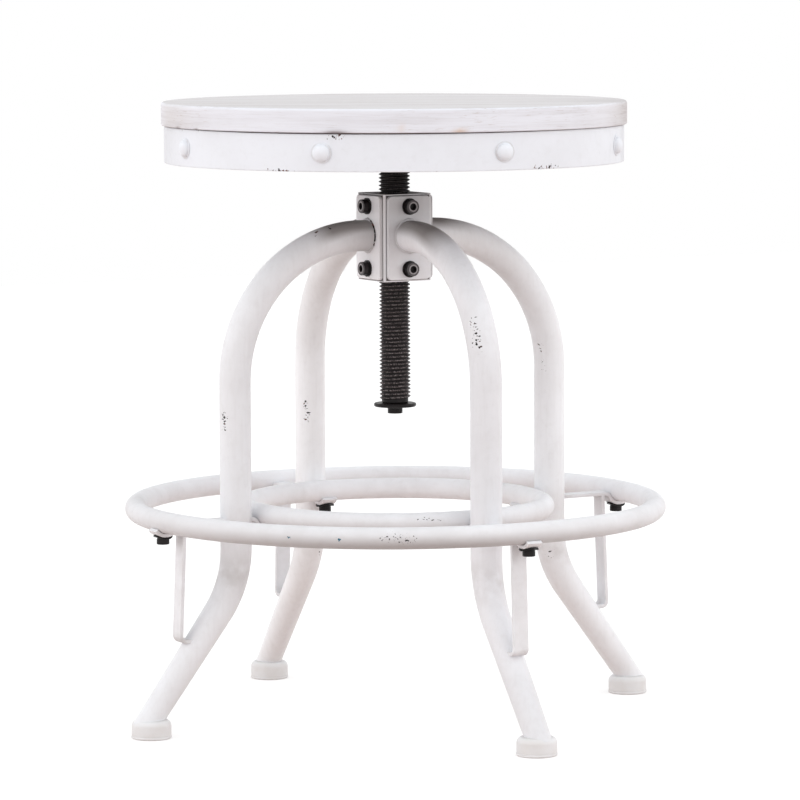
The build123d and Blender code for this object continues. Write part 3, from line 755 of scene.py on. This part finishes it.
def buildWelds():
    s, dark = weldShape, weldShape["dark"]
    shells = []
    around = evenAngles(s["around"])
    section = evenAngles(s["section"])
    for seed, turn in enumerate(legTurns.values()):
        size = s["bead"] + s["wave"] * closedWave(around, 40 + seed, 9, 23) + s["lobe"] * np.abs(np.cos(around)) ** 14
        ringR = s["tubeR"] + 0.1 + size[:, None] * np.cos(section)
        out = s["plateR"] + 0.2 + size[:, None] * np.sin(section) * s["lift"]
        bead = np.stack([out, ringR * np.sin(around)[:, None], s["z"] + ringR * np.cos(around)[:, None]], -1)
        shells.append(shell(aboutZ(bead, turn), True))
    piece = makePiece("legWelds", shells, paint, "base")
    p = piecePoints(piece)
    onLeft = p[:, 0] < dark["fromX"]
    angle = np.degrees(np.arctan2(-p[:, 1], p[:, 2] - s["z"]))         # round the left leg's tube, from its top
    setAttribute(piece, "sootAndShade", np.where(onLeft, dark["sootAndShade"], s["sootAndShade"]))
    reach = np.exp(-((angle - dark["middle"]) / dark["width"]) ** 4)
    setAttribute(piece, "wear", np.where(onLeft, dark["wear"] * reach, 0))


buildWelds()

# Feet: a turned cup with a rounded shoulder, a shallow groove above the base lip and a flat underside
footShape = dict(
    reach=221.0, r=15.7, h=14.8, shoulder=4.8, lip=0.3, lipH=2.2, segments=64, grooveGrime=0.2,
    brimGrime=0.3)


def buildFeet():
    s = footShape
    r, h, lipR, lipH, bend = s["r"], s["h"], s["r"] + s["lip"], s["lipH"], s["shoulder"]
    profile = ([(0.5, 0.0), (r - 1.2, 0.0), (lipR - 0.5, 0.15), (lipR, 0.7), (lipR, lipH - 0.5),
                (lipR - 0.25, lipH - 0.1), (r - 0.1, lipH + 0.15), (r - 0.05, lipH + 0.6), (r, lipH + 1.4)]
               + [(r, z) for z in np.linspace(5, h - bend - 0.6, 4)] + arc(r - bend, h - bend, bend, 0, 90, 9)
               + [(r - bend - 1.2, h + 0.05), (7.0, h + 0.2), (0.5, h + 0.2)])
    grid = turned(profile, s["segments"])
    for side, turn in legTurns.items():
        moved = aboutZ(grid + np.array([s["reach"], 0, 0]), turn)
        piece = makePiece(f"foot_{side}_cup", [shell(moved)], plastic, "base", [f"foot_{side}"], 45)
        p = piecePoints(piece)
        groove = np.exp(-((p[:, 2] - lipH - 0.2) / 0.35) ** 2) * s["grooveGrime"]
        brim = np.exp(-((p[:, 2] - h) / 0.5) ** 2) * s["brimGrime"]
        setAttribute(piece, "grime", np.clip(groove + brim, 0, 1))


buildFeet()
print("legs and feet built")

# Foot rings: round tube carried round a circle, a little uneven, with chips, darker below where it faces the
# camera, partly scuffs and partly painted shade, a veil of painted shade there too, and painted shade by the angle
ringShape = dict(
    tubeR=8.5, z=170.7, segments=540, sides=36, dent=0.08, wander=0.25, wearMost=2.2,
    faceTurn=-115, faceSpan=48, faceLeast=0.06, scuffFrom=3.5, veilSpan=80, veilFrom=3, veilFade=7,
    grime=(0.08, 0.25, 0.3),
    outer=dict(r=209.5, node="outer_foot_ring", scuffAndShade=0.46, shadeVeil=0.16,
               hazeTurn=(-180, -150, -120, -84, -60, -36, -12, 84, 120, 140, 156, 180),
               shadeHaze=(0.16, 0.13, 0.06, 0.03, 0.07, 0.10, 0, 0, 0.03, 0.06, 0.20, 0.16),
               wear=[(-112.0, -186.4, 172.5, 9, 4, 0.8), (-103.6, -191.5, 170.5, 9, 5, 0.75),
                     (-95.0, -195.9, 170.0, 7, 4, 0.8), (60, 209, 172, 9, 4, 0.9),
                     (216, 30, 168, 8, 4, 0.9), (-211, 50, 172, 4, 3, 0.6)],
               blue=[(-169.1, -136.4, 170.5, 2.4, 1.6, 2.2), (-141.2, -165.1, 170.4, 2.6, 1.7, 2.2)]),
    inner=dict(r=119.8, node="inner_foot_ring", scuffAndShade=0.26, shadeVeil=0.07,
               hazeTurn=(-180, -168, -96, -48, 0, 20, 40, 84, 120, 140, 180),
               shadeHaze=(0, 0.03, 0.05, 0.02, 0.06, 0.08, 0, 0, 0.10, 0, 0),
               wear=[(-37.7, -121.9, 173.9, 7, 2.6, 0.9), (-44.9, -118.9, 174.8, 4, 2, 0.7),
                     (-30.0, -124.1, 173.7, 4, 2, 0.7), (80, 100, 174, 7, 3, 0.8)], blue=[]))


def buildRing(name):
    s, one = ringShape, ringShape[name]
    a = evenAngles(s["segments"])[:, None]
    b = evenAngles(s["sides"])
    tube = s["tubeR"] + s["dent"] * closedWave(a[:, 0], 60, 5, 20)[:, None]
    r = one["r"] + tube * np.cos(b) + s["wander"] * closedWave(a[:, 0], 61, 2, 6)[:, None]
    z = s["z"] + tube * np.sin(b) + s["wander"] * closedWave(a[:, 0], 62, 2, 6)[:, None]
    grid = np.stack([r * np.cos(a), r * np.sin(a), z], -1)
    piece = makePiece(f"{name}FootRing", [shell(grid, True)], ringPaint, "base", [one["node"]])
    p = piecePoints(piece)
    setAttribute(piece, "wear", np.clip(spotField(p, one["wear"] + one["blue"]), 0, s["wearMost"]))
    if one["blue"]:
        setAttribute(piece, "blue", np.clip(spotField(p, one["blue"]), 0, 1))
    angle = np.arctan2(p[:, 1], p[:, 0])
    # darker below on the side facing the camera: partly scuffs, partly painted shade
    below = np.clip((s["z"] + s["scuffFrom"] - p[:, 2]) / s["tubeR"], 0, 1)
    turn = (np.degrees(angle) - s["faceTurn"] + 180) % 360 - 180           # from the part that faces the photograph
    facing = s["faceLeast"] + (1 - s["faceLeast"]) * np.exp(-(turn / s["faceSpan"]) ** 2)
    # veil and haze: painted shade
    shadeVeil = one["shadeVeil"] * np.exp(-(turn / s["veilSpan"]) ** 4)
    middle = np.clip((s["z"] + s["tubeR"] + s["veilFrom"] - p[:, 2]) / s["veilFade"], 0, 1)
    shadeHaze = np.interp(np.degrees(angle), one["hazeTurn"], one["shadeHaze"])
    setAttribute(piece, "sootAndShade", shadeHaze + shadeVeil * middle + one["scuffAndShade"] * below * facing)
    level, swing, most = s["grime"]
    setAttribute(piece, "grime", np.clip(level + swing * closedWave(angle, 70, 4, 15), 0, most))


buildRing("outer")
buildRing("inner")

# Ring brackets: flat bar with a saddle under each ring, and a leaning strut that turns in to the leg
bracketShape = dict(
    width=13.0, thick=3.0, corner=0.45, barZ=168.7, axisR=145.0, bend=5.0, saddleR=10.3, drop=2.0,
    wrap=55.0, rings=(119.8, 209.5), inset=2.8, lean=2.5, strutZ=75.0, strutBend=4.5, strutIn=181.5,
    strutUp=0.4, barGrime=(0.15, 0.4, 16), strutGrime=(0.12, 0.5, 5))


def buildBrackets():
    s = bracketShape
    reach = sqrt((s["bend"] + s["saddleR"]) ** 2 - (s["drop"] + s["bend"]) ** 2)
    turn = degrees(acos((s["drop"] + s["bend"]) / (s["bend"] + s["saddleR"])))
    halves = []
    for ring, side in zip(s["rings"], (-1, 1)):
        flat = side * (ring - s["axisR"]) - reach
        path, heads = walk((0, 0), 0.0, [("run", flat, 0, 8), ("bend", s["bend"], -turn, 8),
                                         ("bend", s["saddleR"], turn + s["wrap"], 22)])
        halves.append((path, heads))
    inner, outer = halves
    path = np.vstack([inner[0][::-1] * [-1, 1], outer[0][1:]]) + [s["axisR"], s["barZ"]]
    heads = np.concatenate([-inner[1][::-1], outer[1][1:]])
    bar = stripAlong(path, heads, s["width"], s["thick"], s["corner"])

    lean, topZ = radians(s["lean"]), s["barZ"] - s["thick"] / 2 + s["strutUp"]
    topR = s["rings"][1] - reach - s["inset"]
    bendZ = s["strutZ"] + s["strutBend"] * (1 + sin(lean))
    fall = (topZ - bendZ) / cos(lean)
    tail = topR + fall * sin(lean) - s["strutBend"] - s["strutIn"]
    steps = [("run", fall, 0, 30), ("bend", s["strutBend"], -90 - s["lean"], 10), ("run", tail, 0, 4)]
    path, heads = walk((topR, topZ), -pi / 2 + lean, steps)
    strut = stripAlong(path, heads, s["width"], s["thick"], s["corner"])
    for side, angle in legTurns.items():
        piece = makePiece(f"bracket_{side}_bar", [shell(aboutZ(bar, angle))], paint, "base",
                          [f"ring_bracket_{side}"])
        p = piecePoints(piece)
        level, more, span = s["barGrime"]           # most where the bar passes the leg
        fromLeg = np.hypot(p[:, 0], p[:, 1]) - s["axisR"]
        setAttribute(piece, "grime", level + more * np.exp(-(fromLeg / span) ** 2))
        piece = makePiece(f"strut_{side}_strip", [shell(aboutZ(strut, angle))], paint, "base",
                          [f"bracket_strut_{side}"])
        level, more, span = s["strutGrime"]         # most in the lower bend
        fromBend = piecePoints(piece)[:, 2] - s["strutZ"]
        setAttribute(piece, "grime", level + more * np.exp(-(fromBend / span) ** 2))


buildBrackets()
print("rings and brackets built")

# Saddle washers: a round disc bent to the ring's curve under each saddle, and a thin flat ring against the bolt's
# head; the disc's points lie at an angle round the ring's centre line of their offset over the seat's radius
washerShape = dict(
    r=7.6, hole=3.3, midR=5.5, edge=0.3, seatR=12.1, thick=1.2, flatR=4.7, flatLow=157.05,
    flatHigh=158.2, segments=48)


def buildSaddleWashers():
    s = washerShape
    a = evenAngles(s["segments"])
    full, e = s["r"], s["edge"]
    profile = [(s["hole"], 0), (s["midR"], 0), (full - e, 0), (full, e), (full, s["thick"] - e),
               (full - e, s["thick"]), (s["midR"], s["thick"]), (s["hole"], s["thick"])]
    rho, deep = np.array(profile).T
    bend = rho[:, None] * np.cos(a) / s["seatR"]
    reach = s["seatR"] + deep[:, None]
    disc = np.stack([reach * np.sin(bend), rho[:, None] * np.sin(a), ringShape["z"] - reach * np.cos(bend)], -1)
    flat = turned([(s["hole"], s["flatLow"]), (s["flatR"], s["flatLow"]), (s["flatR"], s["flatHigh"]),
                   (s["hole"], s["flatHigh"])], s["segments"])
    shells = []
    for ring in bracketShape["rings"]:
        for turn in legTurns.values():
            shells += [shell(aboutZ(grid + np.array([ring, 0, 0]), turn), True) for grid in (disc, flat)]
    makePiece("saddleWashers", shells, steel, "base", ["saddle_washers"])


buildSaddleWashers()

# CAD pieces that stay: the block, its plates, the fasteners, the washers and the flange
blockFinish = blockPaint()
keptFinish = {"nut_block": blockFinish, "stop_washer": steel, "stop_bolt": steel, "seat_plate": steel,
              "seat_screws": steel, "plate_screws": headSteel, "plate_washers": steel, "ring_bolts": steel,
              **{f"leg_plate_{side}": platePaint(side) for side in legTurns}}
for name, finish in keptFinish.items():
    for holder in nodes[name].material_slots:
        holder.material = finish
print("kept", len(keptFinish), "pieces of the frame")

# Stage: pale floor, white surroundings, two soft boxes, and the camera where the photograph was taken
stageSet = dict(
    floorSize=9.0, floorBounce=(0.60, 0.488, 0.445), floorShade=(0.5, 0.5, 0.5), floorGlow=0.56,
    horizon=2.50, zenith=1.22, zenithFrom=0.9, frontShare=0.43, frontSpan=(-1, -0.4), backShare=0.56,
    backSpan=(-0.2, 0.7), aimZ=0.28, boxSize=1.6)
cameraSet = dict(
    place=(-1.8117, -3.2352, 0.6205), pitch=5.617, heading=-29.25, roll=-0.22, lens=208.08, sensor=36.0,
    shiftX=0.0060, shiftY=0.0005)


# 1 for the rays that see the background itself: camera, glossy and transmission rays
def seenRays(tree):
    rays = addNode(tree, "ShaderNodeLightPath").outputs
    either = calc(tree, "MAXIMUM", rays["Is Camera Ray"], rays["Is Glossy Ray"])
    return calc(tree, "MAXIMUM", either, rays["Is Transmission Ray"])


# floor and world: seen rays meet a shaded floor with a glow and a world of strength 1, and other rays a plain floor
# and a dome that dims from horizon to zenith, behind the camera and beyond the stool
def buildStage():
    s = stageSet
    half = s["floorSize"] / 2
    corners = np.array([[-half, -half, 0], [half, -half, 0], [half, half, 0], [-half, half, 0]])
    mesh = bpy.data.meshes.new("floor")
    mesh.from_pydata(corners, [], [[0, 1, 2, 3]])
    floor = bpy.data.objects.new("floor", mesh)
    bpy.context.scene.collection.objects.link(floor)
    finish, tree, shader = newFinish("paleFloor")
    tree.nodes.remove(shader)
    bounce = addNode(tree, "ShaderNodeBsdfDiffuse", {"Color": (*s["floorBounce"], 1)})
    shade = addNode(tree, "ShaderNodeBsdfDiffuse", {"Color": (*s["floorShade"], 1)})
    glow = addNode(tree, "ShaderNodeEmission", {"Color": (1, 1, 1, 1), "Strength": s["floorGlow"]})
    seen = addNode(tree, "ShaderNodeAddShader", {0: shade.outputs[0], 1: glow.outputs[0]})
    mix = addNode(tree, "ShaderNodeMixShader", {0: seenRays(tree), 1: bounce.outputs[0], 2: seen.outputs[0]})
    tree.links.new(mix.outputs[0], tree.nodes["Material Output"].inputs["Surface"])
    mesh.materials.append(finish)

    world = bpy.data.worlds.new("whiteSurroundings")
    bpy.context.scene.world = world
    world.use_nodes = True
    tree = world.node_tree
    light = tree.nodes["Background"]
    light.inputs["Color"].default_value = (1, 1, 1, 1)
    toward = addNode(tree, "ShaderNodeTexCoord").outputs["Generated"]
    ahead = (sin(radians(-cameraSet["heading"])), cos(radians(cameraSet["heading"])), 0)
    facing = addNode(tree, "ShaderNodeVectorMath", {0: toward, 1: ahead}, operation="DOT_PRODUCT").outputs["Value"]
    height = addNode(tree, "ShaderNodeSeparateXYZ", {0: toward}).outputs[2]
    around = calc(tree, "MULTIPLY", spread(tree, facing, *s["frontSpan"], s["frontShare"], 1.0),
                  spread(tree, facing, *s["backSpan"], 1.0, s["backShare"]))
    dome = calc(tree, "MULTIPLY", spread(tree, height, 0, s["zenithFrom"], s["horizon"], s["zenith"]), around)
    level = addNode(tree, "ShaderNodeMix", {0: seenRays(tree), 2: dome, 3: 1.0}).outputs[0]
    tree.links.new(level, light.inputs["Strength"])


# soft box: a wide round lamp aimed at the middle of the stool
def softBox(name, place, watts):
    lamp = bpy.data.lights.new(name, "AREA")
    lamp.shape, lamp.size, lamp.energy = "DISK", stageSet["boxSize"], watts
    box = bpy.data.objects.new(name, lamp)
    bpy.context.scene.collection.objects.link(box)
    box.location = place
    box.rotation_euler = (Vector((0, 0, stageSet["aimZ"])) - Vector(place)).to_track_quat("-Z", "Y").to_euler()


# camera: turned to its heading, tipped down by its pitch, then rolled about its own axis
def buildCamera():
    s = cameraSet
    lens = bpy.data.cameras.new("photoCamera")
    lens.lens, lens.sensor_width, lens.shift_x, lens.shift_y = s["lens"], s["sensor"], s["shiftX"], s["shiftY"]
    camera = bpy.data.objects.new("photoCamera", lens)
    bpy.context.scene.collection.objects.link(camera)
    camera.location = s["place"]
    turn = Matrix.Rotation(radians(s["heading"]), 3, "Z") @ Matrix.Rotation(radians(90 - s["pitch"]), 3, "X")
    camera.rotation_euler = (turn @ Matrix.Rotation(radians(s["roll"]), 3, "Z")).to_euler()
    bpy.context.scene.camera = camera


buildStage()
softBox("leftBox", (-2.8, -0.2, 1.1), 3.5)
softBox("rightBox", (1.5, -2.4, 1.1), 2)
buildCamera()
bpy.context.scene.view_settings.view_transform = "Standard"
print("stage set")
